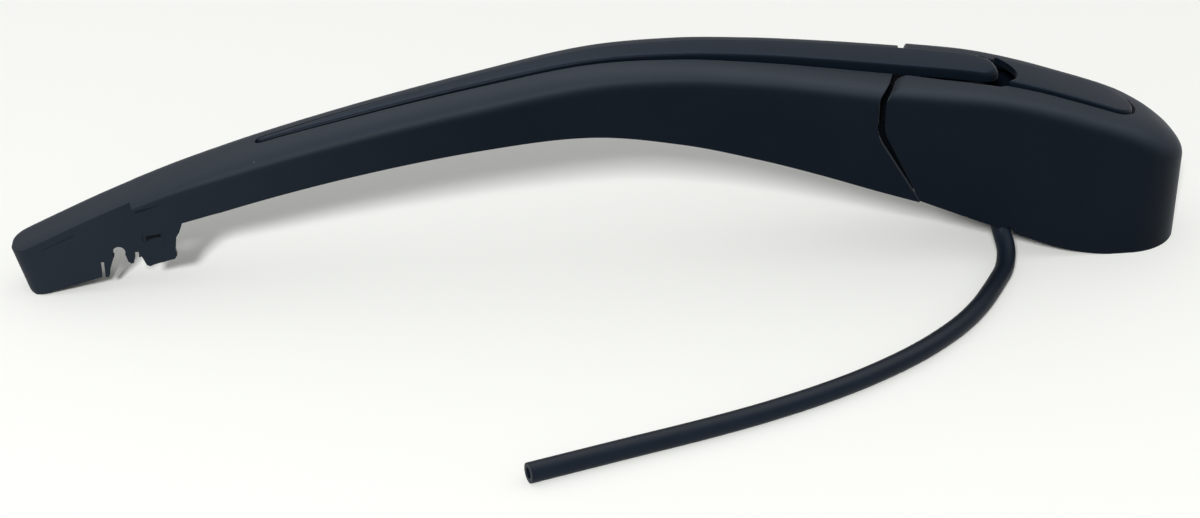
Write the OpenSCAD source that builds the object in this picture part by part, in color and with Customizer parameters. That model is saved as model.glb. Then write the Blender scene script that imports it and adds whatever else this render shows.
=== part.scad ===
// Rear window wiper arm: a textured head and arm, clad over a die-cast lever and a steel
// rail, with a nut cap, a proud centre strip, a blade coupling and a washer hose.
// It lies on the head's rim and on its tip. The origin is at the mouth of the spindle
// bore, on the spindle axis, and the arm points along -X.

/* [Arm] */
// Distance from the spindle axis to the blade pin seat
blade_reach = 286; // [250:1:330]
// Wall thickness of the moulded covers
wall = 2.4; // [1.8:0.1:2.8]
// Gap round the centre strip and the nut cap
trim_gap = 1; // [0.6:0.1:1.2]
// Depth that the centre strip is let into the arm
strip_seat = 1.4; // [1:0.1:1.6]
// Half width of the arm's flat sides at the blade coupling
tip_half = 7.3; // [6.8:0.1:7.6]
// Wall thickness of the blade coupling
tip_wall = 1.9; // [1.5:0.1:2.2]
// Radius of the seat for the blade's pin
blade_pin_r = 1.85; // [1.5:0.05:2]

/* [Head] */
// Radius of the head's round end
rim_r = 18.5; // [17.5:0.1:20]
// How far the round end's centre lies beyond the spindle axis
rim_offset = 12; // [11:0.5:14]
// Height of the spindle hub's mouth above the rim
hub_lift = 15; // [12:0.5:17]
// Height of the spindle hub
hub_h = 12; // [10:0.5:14]
// Outer radius of the spindle hub
hub_r = 11; // [9.5:0.5:12]
// Bore radius of the spindle bush
spindle_r = 4.15; // [3.8:0.05:5]
// Wall thickness of the spindle bush
bush_wall = 2.6; // [2:0.1:3]
// Thickness of the nut cap
cap_t = 2; // [1.6:0.1:2.2]

/* [Hinge and spring] */
// Distance from the spindle axis back to the hinge pin
hinge_reach = 36; // [35:0.5:37]
// Height of the hinge pin above the rim
hinge_h = 49.5; // [49:0.1:50]
// Radius of the hinge pin
hinge_pin_r = 2; // [1.6:0.1:2.2]
// Running clearance of the hinge pin in its bush
hinge_fit = 0.04; // [0.02:0.01:0.08]
// Wall thickness of the hinge bush
hinge_bush_wall = 0.8; // [0.6:0.1:1]
// Radius of the hinge knuckle
knuckle_r = 3.8; // [3.6:0.1:3.9]
// Half width of the tongue between the rail's walls
tongue_half = 4.6; // [4.2:0.1:4.8]
// Sheet thickness of the steel rail
rail_t = 1.6; // [1.2:0.1:1.8]
// Outer half width of the steel rail
rail_half = 6.6; // [6.4:0.1:6.8]
// Height of the steel rail
rail_h = 12; // [10:0.5:14]
// Radius of the spring's wire
spring_wire_r = 0.8; // [0.6:0.1:0.9]
// Outer radius of the spring's coil
spring_r = 4.2; // [3.9:0.1:4.4]
// Radius of the link's and the spring's pins
link_pin_r = 1.5; // [1.2:0.1:1.8]

/* [Hose] */
// Outer diameter of the washer hose
hose_d = 5.5; // [4:0.1:6]
// Bore diameter of the washer hose
hose_bore = 3; // [2:0.1:3.4]
// Outer diameter of the tube inside the arm
tube_d = 4; // [3:0.1:4.4]

/* [Hidden] */
$fn = 64;
far = 400;

cover_colour = [0.13, 0.15, 0.18];
satin_colour = [0.19, 0.22, 0.26];
steel_colour = [0.6, 0.61, 0.63];
cast_colour = [0.42, 0.43, 0.45];
rubber_colour = [0.1, 0.11, 0.12];
hose_colour = [0.13, 0.17, 0.22];
clip_colour = [0.75, 0.74, 0.7];

// Heights are written above the plane that the arm lies on; stand() brings the hub's
// mouth to zero.
module stand() {
    translate([0, 0, -hub_lift]) children();
}

// A shape drawn in side view (X, height) and made solid across Y
module across(width) {
    rotate([90, 0, 0]) linear_extrude(width, center = true) children();
}

// A round bar across Y
module cross_bar(r, width) {
    rotate([90, 0, 0]) cylinder(r = r, h = width, center = true);
}

// Smooth curve through a few [place, value] pairs
function span(p, x, i = 0) = (i >= len(p) - 2 || x < p[i + 1][0]) ? i : span(p, x, i + 1);
function lean(p, i) = let(a = max(i - 1, 0), b = min(i + 1, len(p) - 1))
    (p[b][1] - p[a][1]) / (p[b][0] - p[a][0]);
function curve(p, x) = let(
        i = span(p, x),
        h = p[i + 1][0] - p[i][0],
        t = max(0, min(1, (x - p[i][0]) / h)),
        m0 = lean(p, i) * h,
        m1 = lean(p, i + 1) * h,
        d = p[i + 1][1] - p[i][1])
    p[i][1] + t * (m0 + t * (3 * d - 2 * m0 - m1 + t * (m0 + m1 - 2 * d)));

// Skin over rings of points, one ring for each station
function skin_faces(n, m) = concat(
    [for (i = [0 : n - 2]) for (j = [0 : m - 1]) [i * m + j, (i + 1) * m + j, i * m + (j + 1) % m]],
    [for (i = [0 : n - 2]) for (j = [0 : m - 1])
        [i * m + (j + 1) % m, (i + 1) * m + j, (i + 1) * m + (j + 1) % m]],
    [[for (j = [0 : m - 1]) j]],
    [[for (j = [0 : m - 1]) n * m - 1 - j]]);
module skin(rings) {
    polyhedron(
        points = [for (ring = rings) for (q = ring) q],
        faces = skin_faces(len(rings), len(rings[0])));
}

// The cover's form. The arm runs from place 0 at the seam to place 1 at the blade pin.
// Its heights are written for a hinge pin at 49.5 and rise with the pin.
tall = hinge_h / 49.5;
function risen(rows, column) = [for (r = rows) [r[0], r[column] * tall]];
seam_reach = hinge_reach + 29.8;
function arm_x(s) = -seam_reach - s * (blade_reach - seam_reach);
arm_rows = [
    [-0.18, 52.4, 19.3, 12.6, 5],
    [-0.09, 55.5, 19.3, 18.8, 5],
    [0.00, 58.2, 19.0, 25.4, 5],
    [0.08, 60.7, 17.6, 31.2, 4.8],
    [0.16, 62.9, 16.2, 36.4, 4.4],
    [0.26, 64.7, 14.7, 41.7, 3.8],
    [0.38, 64.1, 13.4, 44.9, 3.2],
    [0.52, 58.6, 12.2, 42.0, 2.8],
    [0.68, 50.5, 11.2, 35.7, 2.7],
    [0.84, 40.9, 10.2, 27.0, 2.6],
    [1.00, 27.4, 9.4, 16.0, 2.8],
    [1.15, 12.4, 8.6, 4.5, 3]];
arm_top = risen(arm_rows, 1);
arm_half = [for (r = arm_rows) [r[0], r[2]]];
arm_base = risen(arm_rows, 3);
arm_square = [for (r = arm_rows) [r[0], r[4]]];
// The walls of the blade coupling hang below the arm's lower edge
skirt_from = 0.88;
skirt_slope = 250;
skirt_low = -6;
function arm_low(s) = s < skirt_from ? curve(arm_base, s)
    : max(skirt_low, curve(arm_base, s) - skirt_slope * (s - skirt_from));
head_top = risen([[-70, 59.2], [-50, 56.6], [-33, 54.1], [-18, 50.5], [-4, 46.2], [12, 40.8],
    [20, 37.2], [26, 33.0], [30, 28.4]], 1);
head_base = risen([[-75, 31.5], [-53.6, 21.8], [-20, 7.3], [-11.7, 3.9], [-4.8, 1.8], [6, 0], [40, 0]], 1);
shoulder_low = 24.5 * tall;
head_square = [[-70, 6], [-33, 5.6], [-10, 4.2], [12, 2.9], [31, 2.6]];
shoulder_drop = [[2.6, 0.54], [2.8, 0.54], [3.5, 0.47], [5, 0.42], [6, 0.4]];

function head_half(x) = x < rim_offset
    ? rim_r + 0.8 * min(1, (rim_offset - x) / 60)
    : sqrt(max(0.04, rim_r * rim_r - (x - rim_offset) * (x - rim_offset)));

// Half section from the crown down the side, as [y, drop share] pairs
steps = 8;
function crown(i, square) = let(a = 90 * i / steps)
    [pow(sin(a), 2 / square), 1 - pow(cos(a), 2 / square)];
function half_ring(x, half, top, drop, square) = [
    for (i = [0 : steps]) [x, half * crown(i, square)[0], top - drop * crown(i, square)[1]]];
function ring(x, half, top, drop, square, base) = let(side = half_ring(x, half, top, drop, square))
    concat(
        [[x, half, base]],
        [for (i = [steps : -1 : 0]) side[i]],
        [for (i = [1 : steps]) [x, -side[i][1], side[i][2]]],
        [[x, -half, base]]);

function arm_ring(s, inset, sink) = let(
        half = curve(arm_half, s),
        square = curve(arm_square, s))
    ring(arm_x(s), half - inset, curve(arm_top, s) - inset,
        half * curve(shoulder_drop, square) - inset / 2, square, arm_low(s) - sink);
function head_ring(x, inset, sink) = let(
        half = max(0.3, head_half(x) - inset),
        square = curve(head_square, x),
        full = head_half(x) * curve(shoulder_drop, square),
        drop = min(curve(head_top, x) - shoulder_low, full) - inset / 2)
    ring(x < 0 ? x : x - inset * (x - rim_offset > 0 ? (x - rim_offset) / rim_r : 0),
        half, curve(head_top, x) - inset, drop, square, max(0, curve(head_base, x)) - sink);

// Side view of the seam. Each cover's end stands upright over a straight slope, and the
// slopes nearly meet at the bottom, where they stop the arm. No point of the head's end is
// as far from the hinge as the arm's end, so the arm swings past it. Seen from above the
// seam runs slanted across the covers.
seam_slant = 0.3;
arc_steps = 6;
function arc(x, z, r, a0, a1) = [
    for (i = [0 : arc_steps]) let(a = a0 + (a1 - a0) * i / arc_steps) [x + r * cos(a), z + r * sin(a)]];
function slope_end(x, z, r, a, len) = [x + r * cos(a) - len * sin(a), z + r * sin(a) + len * cos(a)];
head_slope = 207.5;
arm_slope = 212.6;
// From the heel down both slopes run side by side
heel = 21.6;
module seam_side(low_x, low_z, low_r, slope, high_x, high_z, high_r, last) {
    down = 80;
    knee = slope_end(low_x, low_z, low_r, slope, heel);
    polygon(concat(
        [knee + down * [-sin(head_slope), cos(head_slope)], knee],
        arc(low_x, low_z, low_r, slope, 180),
        arc(high_x, high_z, high_r, 180, last),
        [arc(high_x, high_z, high_r, 180, last)[arc_steps] + [0, far], [far, far], [far, -far]]));
}
module head_side() {
    seam_side(-hinge_reach - 19.4, hinge_h - 2.3, 10, head_slope, -hinge_reach - 24.4, hinge_h + 3.1, 5, 90);
}
module arm_gap_side() {
    seam_side(-hinge_reach - 18.5, hinge_h - 2.5, 13, arm_slope, -hinge_reach - 25.5, hinge_h + 3.5, 6, 130);
}
module across_seam() {
    multmatrix([[1, seam_slant, 0, seam_slant * rim_r], [0, 1, 0, 0], [0, 0, 1, 0], [0, 0, 0, 1]])
        across(4 * rim_r) children();
}

// Outline of the centre strip and the nut cap in plan
strip_end = 0.81;
tail_x = -28;
tail_r = 6.75;
strip_rows = [[-0.18, 6.75], [0, 6.45], [0.2, 5.4], [0.38, 4.3], [0.52, 3.5], [0.68, 2.2], [0.81, 0.9]];
proud_rows = [[-0.2, 2.8], [0, 2.7], [0.08, 2.4], [0.16, 2.0], [0.26, 1.4], [0.38, 0.9],
    [0.52, 0.7], [0.81, 0.3]];
tail_t = 2.2;
cap_from = -27.5;
cap_nose = 13.8;
cap_wide = 5;
cap_r = 9.6;
cap_rows = [[-28, 8.6], [-18, 8.75], [-8, 9.15], [cap_wide, cap_r]];
cap_proud = [[-28, 1.5], [-18, 1.2], [0, 1.0], [cap_nose, 0.5]];
notch_r = 10.5;
notch_x = -22.3;
function cap_half(x) = x < cap_wide ? curve(cap_rows, x)
    : let(t = (x - cap_wide) / (cap_nose - cap_wide)) cap_r * sqrt(max(0.001, 1 - t * t));
cap_pivot_x = 9.4;
cap_pivot_z = 39.7 * tall;
trunnion_r = 0.7;
trunnion_fit = 0.05;

module head_form(inset, sink) {
    turn = inset > 0 ? [for (a = [0 : 10 : 80]) a] : [for (a = [0 : 12 : 84]) a, 88];
    places = concat([for (x = [-68 : 8 : 4]) x], [for (a = turn) rim_offset + rim_r * sin(a)]);
    skin([for (x = places) head_ring(x, inset, sink)]);
}

// The slot in the head's top widens from the strip's tail to the cap
slot_flare = [[-70, 0], [-60, 0.8], [-48, 2.4], [-38, 3.2], [-30, 3.3]];
module head_opening() {
    tail = curve(strip_rows, -0.1) + trim_gap;
    nose = cap_nose - cap_wide + trim_gap;
    near = concat(
        [for (p = slot_flare) [p[0], tail + p[1]]],
        [for (x = [cap_from : 4 : cap_wide]) [x, cap_half(x) + trim_gap]]);
    linear_extrude(far) polygon(concat(
        near,
        [for (a = [90 : -10 : -90]) [cap_wide + nose * cos(a), (cap_r + trim_gap) * sin(a)]],
        [for (i = [len(near) - 1 : -1 : 0]) [near[i][0], -near[i][1]]]));
}

module head_cover() {
    difference() {
        union() {
            difference() {
                head_form(0, 0);
                head_form(wall, 6);
                translate([0, 0, 20]) head_opening();
            }
            for (side = [-1, 1]) translate([0, side * post_y, post_low])
                cylinder(r = post_r, h = curve(head_top, 0) - 3.2 - post_low);
        }
        across_seam() difference() {
            translate([-2 * far, -far]) square([2 * far, 2 * far]);
            head_side();
        }
        translate([cap_pivot_x, 0, cap_pivot_z])
            cross_bar(trunnion_r + trunnion_fit, 2 * trunnion_half + 0.4);
        hose_notch();
        for (side = [-1, 1]) translate([0, side * post_y, post_low - 1]) cylinder(r = screw_r, h = 14);
    }
}

// The cover of the head is one moulded piece. Its solids are the round end and the part
// round the hinge, which meet at a plane across the head.
cover_meet = -22;
module head_shell() {
    color(cover_colour) stand() intersection() {
        head_cover();
        translate([cover_meet, -far / 2, -far / 2]) cube(far);
    }
}
module hinge_cover() {
    color(cover_colour) stand() difference() {
        head_cover();
        translate([cover_meet, -far / 2, -far / 2]) cube(far);
    }
}

// Posts under the head's cover take the screws of the core's wings
post_y = 13.6;
post_r = 2.4;
wing_t = 4;
post_low = hub_lift + wing_t;
screw_r = 1.2;
screw_head_r = 2.3;
screw_head_t = 1.5;

// The gap under the near wall that lets the hose out
module hose_notch() {
    translate([-27.4, -18, 8.1]) rotate([-46, 0, 0])
        cylinder(r = hose_d / 2 + 0.5, h = 16, center = true);
}

module tip_place() {
    translate([-blade_reach, 0, blade_z]) rotate([0, -tip_tilt, 0]) children();
}
blade_z = 12.9;
tip_round = 5.8;
tip_tilt = 15;

// Everything below the coupling's outline, in the coupling's own side view
module coupling_cut() {
    polygon([[-40, -30], [-40, -3.9], [-29.5, -3.9], [-29, -5.3], [-27.6, -6], [-6.6, -6], [-5.5, -6.1],
        [-4.9, -5.4], [-2.8, -2], [-1.6, -0.6], [1.5, -0.6], [1.5, -3.6],
        [2.1, -4.5], [2.9, -4.5], [3.6, -3.3], [5.7, -3.25], [6.1, -6.4], [6.9, -7], [14.8, -6.2],
        [15.8, -5.2], [15.9, -3.6], [17.6, 0.6], [19.2, 2.2], [20.8, 4.5], [30, 4.5], [40, 4.2], [40, -30]]);
}

module arm_form(inset, sink, s0, s1, n) {
    skin([for (i = [n : -1 : 0]) arm_ring(s0 + (s1 - s0) * i / n, inset, sink)]);
}

// The moulded cover of the arm is one piece in use. Its solids are the long arm and the
// blade coupling, which meet at a plane across the arm.
coupling_reach = 28;
module arm_cover() {
    difference() {
        union() {
            difference() {
                arm_form(0, 0, -0.12, 1.15, 32);
                arm_cavity();
            }
            for (r = rail_screw_reach) rail_place() translate([-r, 0, knuckle_r])
                cylinder(r = 3, h = r < 60 ? 4.2 : 5.6);
        }
        for (r = rail_screw_reach) rail_place() translate([-r, 0, knuckle_r - 1])
            cylinder(r = screw_r, h = 3.6);
        strip_groove();
        tip_flats();
        tip_place() across(far) coupling_cut();
        tip_place() cross_bar(blade_pin_r, far);
        tip_place() translate([-5.7, 0, -4]) cube([1.1, far, 6], center = true);
        tip_place() translate([4.2, 0, -3.2]) cube([1.1, far, 4.8], center = true);
        tip_place() translate([11.1, 0, 2]) cube([4.8, far, 1.7], center = true);
        across_seam() arm_gap_side();
    }
}
module arm_shell() {
    color(cover_colour) stand() intersection() {
        arm_cover();
        translate([coupling_reach - blade_reach, -far / 2, -far / 2]) cube(far);
    }
}
module blade_coupling() {
    color(cover_colour) stand() difference() {
        arm_cover();
        translate([coupling_reach - blade_reach, -far / 2, -far / 2]) cube(far);
    }
}

module arm_cavity() {
    n = 22;
    s1 = 1.115;
    skin([for (i = [n : -1 : 0]) let(
            s = -0.13 + (s1 + 0.13) * i / n,
            half = curve(arm_half, s) - wall,
            square = curve(arm_square, s),
            inner = s > 0.93 ? min(half, tip_half - tip_wall + (s < 0.98 ? (0.98 - s) * 30 : 0)) : half,
            top = curve(arm_top, s) - wall - (s < 0.9 ? 0.6 : 0))
        ring(arm_x(s), inner, top, inner * curve(shoulder_drop, square), square, arm_low(s) - 8)]);
}

// The flat sides of the coupling, with their step, and its round front
module tip_flats() {
    tip_place() for (side = [0, 1]) mirror([0, side, 0]) {
        translate([-60, tip_half, -40]) cube([68.6, 20, 80]);
        translate([8.5, tip_half, -40]) linear_extrude(52)
            polygon([[0, 0], [18, 4.5], [0, 4.5]]);
    }
    tip_place() translate([tip_round - 29.5, 0, -40]) difference() {
        translate([-40, -20, 0]) cube([40, 40, 80]);
        for (side = [-1, 1]) translate([0, side * (tip_half - tip_round), 0]) cylinder(r = tip_round, h = 80);
        translate([-tip_round, tip_round - tip_half, 0]) cube([20, 2 * (tip_half - tip_round), 80]);
    }
}

module strip_groove() {
    n = 20;
    skin([for (i = [n : -1 : 0]) let(
            s = -0.16 + (strip_end + 0.165) * i / n,
            half = curve(strip_rows, s) + trim_gap,
            floor = curve(arm_top, s) - strip_seat)
        [[arm_x(s), half, floor], [arm_x(s), half, floor + 20], [arm_x(s), -half, floor + 20],
            [arm_x(s), -half, floor]]]);
}

module centre_strip() {
    n = 24;
    color(satin_colour) stand() intersection() {
        skin([for (i = [n : -1 : 0]) let(
                s = -0.17 + (strip_end + 0.17) * i / n,
                half = curve(strip_rows, s),
                top = curve(arm_top, s) + curve(proud_rows, s),
                base = s < 0.005 ? top - tail_t : curve(arm_top, s) - strip_seat + 0.3,
                edge = 0.5)
            [[arm_x(s), half, base], [arm_x(s), half, top - edge],
                [arm_x(s), half - 0.3 * edge, top - 0.3 * edge], [arm_x(s), half - edge, top],
                [arm_x(s), 0, top + 0.1], [arm_x(s), edge - half, top],
                [arm_x(s), 0.3 * edge - half, top - 0.3 * edge], [arm_x(s), -half, top - edge],
                [arm_x(s), -half, base]]]);
        linear_extrude(far) union() {
            translate([-far, -20]) square([far + tail_x - tail_r, 40]);
            translate([tail_x - tail_r, 0]) circle(tail_r);
        }
    }
}

// The cap has a thumb notch at one end and turns on two short pins under its nose
trunnion_half = 10.6;
lug_half = 7.9;
module nut_cap() {
    long = 9;
    n = 16;
    color(satin_colour) stand() union() {
        difference() {
            skin([for (i = [0 : n]) let(
                    x = i < long ? cap_from + (cap_wide - cap_from) * i / long
                        : cap_wide + (cap_nose - cap_wide) * sin(90 * (i - long) / (n - long)),
                    half = cap_half(x),
                    top = curve(head_top, x) + curve(cap_proud, x),
                    edge = min(0.5, half / 3))
                [[x, half, top - cap_t], [x, half, top - edge],
                    [x, half - edge, top], [x, 0, top + 0.1],
                    [x, edge - half, top], [x, -half, top - edge],
                    [x, -half, top - cap_t]]]);
            translate([notch_x - notch_r, 0, 0]) cylinder(r = notch_r, h = far, $fn = 96);
        }
        translate([cap_pivot_x, 0, cap_pivot_z]) cross_bar(trunnion_r, 2 * trunnion_half);
        translate([cap_pivot_x - 1.2, -lug_half, cap_pivot_z - trunnion_r])
            cube([2.4, 2 * lug_half, 1.9]);
    }
}

module head_core() {
    bush_r = hinge_pin_r + hinge_fit + hinge_bush_wall;
    color(cast_colour) stand() difference() {
        union() {
            translate([0, 0, hub_lift]) cylinder(r = hub_r, h = hub_h);
            translate([-4, -post_y - post_r, hub_lift]) cube([8, 2 * (post_y + post_r), wing_t]);
            across(2 * tongue_half) union() {
                translate([-hinge_reach, hinge_h]) circle(knuckle_r);
                polygon([[-6, hub_lift], [-6, hub_lift + hub_h], [-12, hub_lift + hub_h + 2],
                    [10 - hinge_reach, hinge_h - 13.5],
                    [knuckle_r - hinge_reach - 0.3, hinge_h - 5.5], [knuckle_r - hinge_reach, hinge_h],
                    [-hinge_reach - knuckle_r, hinge_h], [-hinge_reach - knuckle_r, hinge_h - 8.5],
                    [link_x + 4, link_z + 5], [link_x, link_z + fork_r], [link_x, link_z - fork_r],
                    [-20, hub_lift + 1]]);
                translate([link_x, link_z]) circle(fork_r);
            }
            translate([joiner_x, joiner_y, joiner_z]) cylinder(r = joiner_r + 1.8, h = 3);
            translate([joiner_x - 2, joiner_y, joiner_z]) cube([4, -joiner_y, 3]);
        }
        translate([0, 0, hub_lift - 1]) cylinder(r = spindle_r + bush_wall, h = 40);
        translate([-hinge_reach, 0, hinge_h]) cross_bar(bush_r, far);
        translate([link_x, 0, link_z]) cross_bar(link_pin_r, far);
        translate([link_x - 8, -fork_gap, link_z - 12]) cube([14.5, 2 * fork_gap, 20]);
        translate([joiner_x, joiner_y, joiner_z - 1]) cylinder(r = joiner_r, h = 5);
        for (side = [-1, 1]) translate([0, side * post_y, hub_lift - 1]) cylinder(r = screw_r, h = 9);
    }
}
link_x = -hinge_reach - 8;
link_z = hinge_h - 17.5;
fork_r = 3.2;
fork_gap = 2;
joiner_x = -31;
joiner_y = -9;
joiner_z = 28;
joiner_r = 2;

module spindle_bush() {
    color(steel_colour) stand() translate([0, 0, hub_lift]) difference() {
        cylinder(r = spindle_r + bush_wall, h = hub_h + 0.6);
        translate([0, 0, -1]) cylinder(r = spindle_r, h = hub_h + 4);
    }
}

module hinge_bush() {
    color(clip_colour) stand() translate([-hinge_reach, 0, hinge_h]) difference() {
        cross_bar(hinge_pin_r + hinge_fit + hinge_bush_wall, 2 * tongue_half);
        cross_bar(hinge_pin_r + hinge_fit, far);
    }
}

rivet_r = 2.7;
rivet_t = 0.5;
module hinge_pin() {
    color(steel_colour) stand() translate([-hinge_reach, 0, hinge_h]) union() {
        cross_bar(hinge_pin_r, 2 * rail_half);
        for (side = [-1, 1]) translate([0, side * (rail_half + rivet_t / 2), 0]) cross_bar(rivet_r, rivet_t);
    }
}

module link_pin() {
    color(steel_colour) stand() translate([link_x, 0, link_z]) cross_bar(link_pin_r, 2 * tongue_half);
}

// The rail: a channel, open below, that climbs gently from the hinge
rail_len = 106;
rail_climb = 2;
anchor_reach = hinge_reach + 90;
anchor_z = hinge_h + 1;
rail_screw_reach = [46, 98];
module rail_place() {
    translate([-hinge_reach, 0, hinge_h]) rotate([0, rail_climb, 0]) children();
}
module arm_rail() {
    color(steel_colour) stand() difference() {
        rail_place() difference() {
            union() {
                cross_bar(knuckle_r, 2 * rail_half);
                translate([-rail_len, -rail_half, knuckle_r - rail_h])
                    cube([rail_len - 3, 2 * rail_half, rail_h]);
                translate([-8, -rail_half, -knuckle_r]) cube([8, 2 * rail_half, 2 * knuckle_r]);
            }
            translate([-far + 10, rail_t - rail_half, -far + knuckle_r - rail_t])
                cube([far, 2 * (rail_half - rail_t), far]);
            translate([-5.2, rail_t - rail_half, -10]) cube([20, 2 * (rail_half - rail_t), 20]);
        }
        translate([-hinge_reach, 0, hinge_h]) cross_bar(hinge_pin_r, far);
        translate([-anchor_reach, 0, anchor_z]) cross_bar(link_pin_r, far);
        for (r = rail_screw_reach) rail_place() translate([-r, 0, 0]) cylinder(r = screw_r, h = 20);
    }
}

module spring_pin() {
    color(steel_colour) stand() translate([-anchor_reach, 0, anchor_z]) union() {
        cross_bar(link_pin_r, 2 * rail_half);
        for (side = [-1, 1]) translate([0, side * (rail_half + 0.3), 0]) cross_bar(2.2, 0.6);
    }
}

// The spring pulls along the line from its anchor to the link pin
pull_x = anchor_reach + link_x;
pull_z = anchor_z - link_z;
pull = sqrt(pull_x * pull_x + pull_z * pull_z);
pull_angle = atan2(pull_z, pull_x);
loop_len = 8;
link_len = 30;
module along_pull() {
    translate([-anchor_reach, 0, anchor_z]) rotate([0, pull_angle, 0]) children();
}
coil_len = pull - link_len - loop_len;
pitch = 2 * spring_wire_r;
turns = floor(coil_len / pitch);
module tension_spring() {
    mean_r = spring_r - spring_wire_r;
    color(steel_colour) stand() along_pull() union() {
        translate([loop_len, 0, 0]) rotate([0, 90, 0]) rotate_extrude() polygon(concat(
            [[mean_r - spring_wire_r, 0], [spring_r - 0.4, 0]],
            [for (i = [0 : turns - 1]) each [[spring_r, (i + 0.5) * pitch], [spring_r - 0.4, (i + 1) * pitch]]],
            [[mean_r - spring_wire_r, turns * pitch]]));
        rotate([90, 0, 0]) rotate_extrude()
            translate([link_pin_r + 0.05 + spring_wire_r, 0]) circle(spring_wire_r);
        translate([link_pin_r + 0.4, 0, 0]) rotate([0, 90, 0])
            cylinder(r = spring_wire_r, h = loop_len - link_pin_r + 0.4);
        translate([loop_len, 0, 0]) rotate([0, 90, 0]) cylinder(r = mean_r, h = pitch);
    }
}

shank_r = 1.4;
shank_in = 22;
module spring_link() {
    color(steel_colour) stand() along_pull() translate([pull, 0, 0]) difference() {
        union() {
            cross_bar(link_pin_r + 1.4, 3.2);
            translate([-link_len - shank_in, 0, 0]) rotate([0, 90, 0])
                cylinder(r = shank_r, h = link_len + shank_in - link_pin_r - 0.2);
        }
        cross_bar(link_pin_r + 0.05, 10);
    }
}

module screw(length) {
    translate([0, 0, -screw_head_t]) cylinder(r = screw_head_r, h = screw_head_t);
    cylinder(r = screw_r, h = length);
}
module head_screws() {
    color(steel_colour) stand() for (side = [-1, 1])
        translate([0, side * post_y, hub_lift]) screw(wing_t + 8);
}

module rail_screws() {
    color(steel_colour) stand() for (r = rail_screw_reach) rail_place()
        translate([-r, 0, knuckle_r - rail_t]) screw(rail_t + 2.6);
}

// Hose: the route's points lie on the hose's middle line
hose_r = hose_d / 2;
hose_route = [[-31, -9, 27], [-31, -9, 24.5], [-31, -9, 22], [-30.5, -9.6, 19], [-29.6, -11.4, 15.4],
    [-28.3, -14.5, 11.8], [-27.4, -18, 8.1], [-27.2, -21.6, 5.6], [-28.2, -25.6, 3.9], [-30, -29.8, 3],
    [-32.6, -34.2, 2.8], [-36.4, -40.4, 2.8], [-41.8, -48.5, 2.8], [-48.3, -56.5, 2.8],
    [-56.5, -64.5, 2.8], [-67.5, -73.3, 2.8], [-82, -82.5, 2.8], [-97, -90.2, 2.8],
    [-114.3, -97.5, 2.8], [-131.4, -103.5, 2.8], [-147.8, -108.6, 2.8], [-164, -113.7, 2.8],
    [-177.6, -118, 2.8]];

function unit(v) = v / norm(v);
function axis_at(p, i) = unit(p[min(i + 1, len(p) - 1)] - p[max(i - 1, 0)]);
function tube_ring(p, i, r, sides) = let(
        a = axis_at(p, i),
        u = unit(cross(a, [0.1, 0.2, 1])),
        v = cross(a, u))
    [for (k = [0 : sides - 1]) p[i] + r * (cos(360 * k / sides) * u + sin(360 * k / sides) * v)];
function tube_faces(n, m) = concat(
    [for (i = [0 : n - 2]) for (j = [0 : m - 1])
        [i * m + j, (i + 1) * m + j, (i + 1) * m + (j + 1) % m, i * m + (j + 1) % m]],
    [[for (j = [0 : m - 1]) j]],
    [[for (j = [0 : m - 1]) n * m - 1 - j]]);
module tube(p, r, sides) {
    polyhedron(
        points = [for (i = [0 : len(p) - 1]) each tube_ring(p, i, r, sides)],
        faces = tube_faces(len(p), sides));
}
// Points set between the route's own points, on a smooth line through them
function between(p, i, t) = let(
        a = p[max(i - 1, 0)],
        b = p[i],
        c = p[i + 1],
        d = p[min(i + 2, len(p) - 1)])
    b + t * 0.5 * (c - a + t * (2 * a - 5 * b + 4 * c - d + t * (3 * b - a - 3 * c + d)));
function smooth_route(p, k) = concat(
    [for (i = [0 : len(p) - 2]) for (j = [0 : k - 1]) between(p, i, j / k)], [p[len(p) - 1]]);

module washer_hose() {
    route = smooth_route(hose_route, 2);
    n = len(route) - 1;
    bore_route = concat([2 * route[0] - route[1]], route, [2 * route[n] - route[n - 1]]);
    color(hose_colour) stand() difference() {
        tube(route, hose_r, 10);
        tube(bore_route, hose_bore / 2, 8);
    }
}

// An elbow joins the hose to the tube in the arm
elbow_z = hinge_h - 11.5;
elbow_len = 7;
module hose_joiner() {
    color(clip_colour) stand() translate([joiner_x, joiner_y, 0]) union() {
        translate([0, 0, hose_route[0][2]]) cylinder(r = joiner_r, h = elbow_z - hose_route[0][2]);
        translate([0, 0, hose_route[0][2] - 4]) cylinder(r = hose_bore / 2 - 0.15, h = 5);
        translate([0, 0, elbow_z]) sphere(r = joiner_r + 0.2);
        translate([-elbow_len, 0, elbow_z]) rotate([0, 90, 0]) cylinder(r = joiner_r - 0.2, h = elbow_len);
        translate([0, 0, joiner_z + 3]) cylinder(r = joiner_r + 0.8, h = 1);
    }
}

// Place of the washer nozzle
nozzle_s = 0.623;
nozzle_x = arm_x(nozzle_s);
nozzle_z = curve(arm_top, nozzle_s) - 9.2;
nozzle_half = curve(arm_half, nozzle_s) - wall - 0.8;

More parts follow.
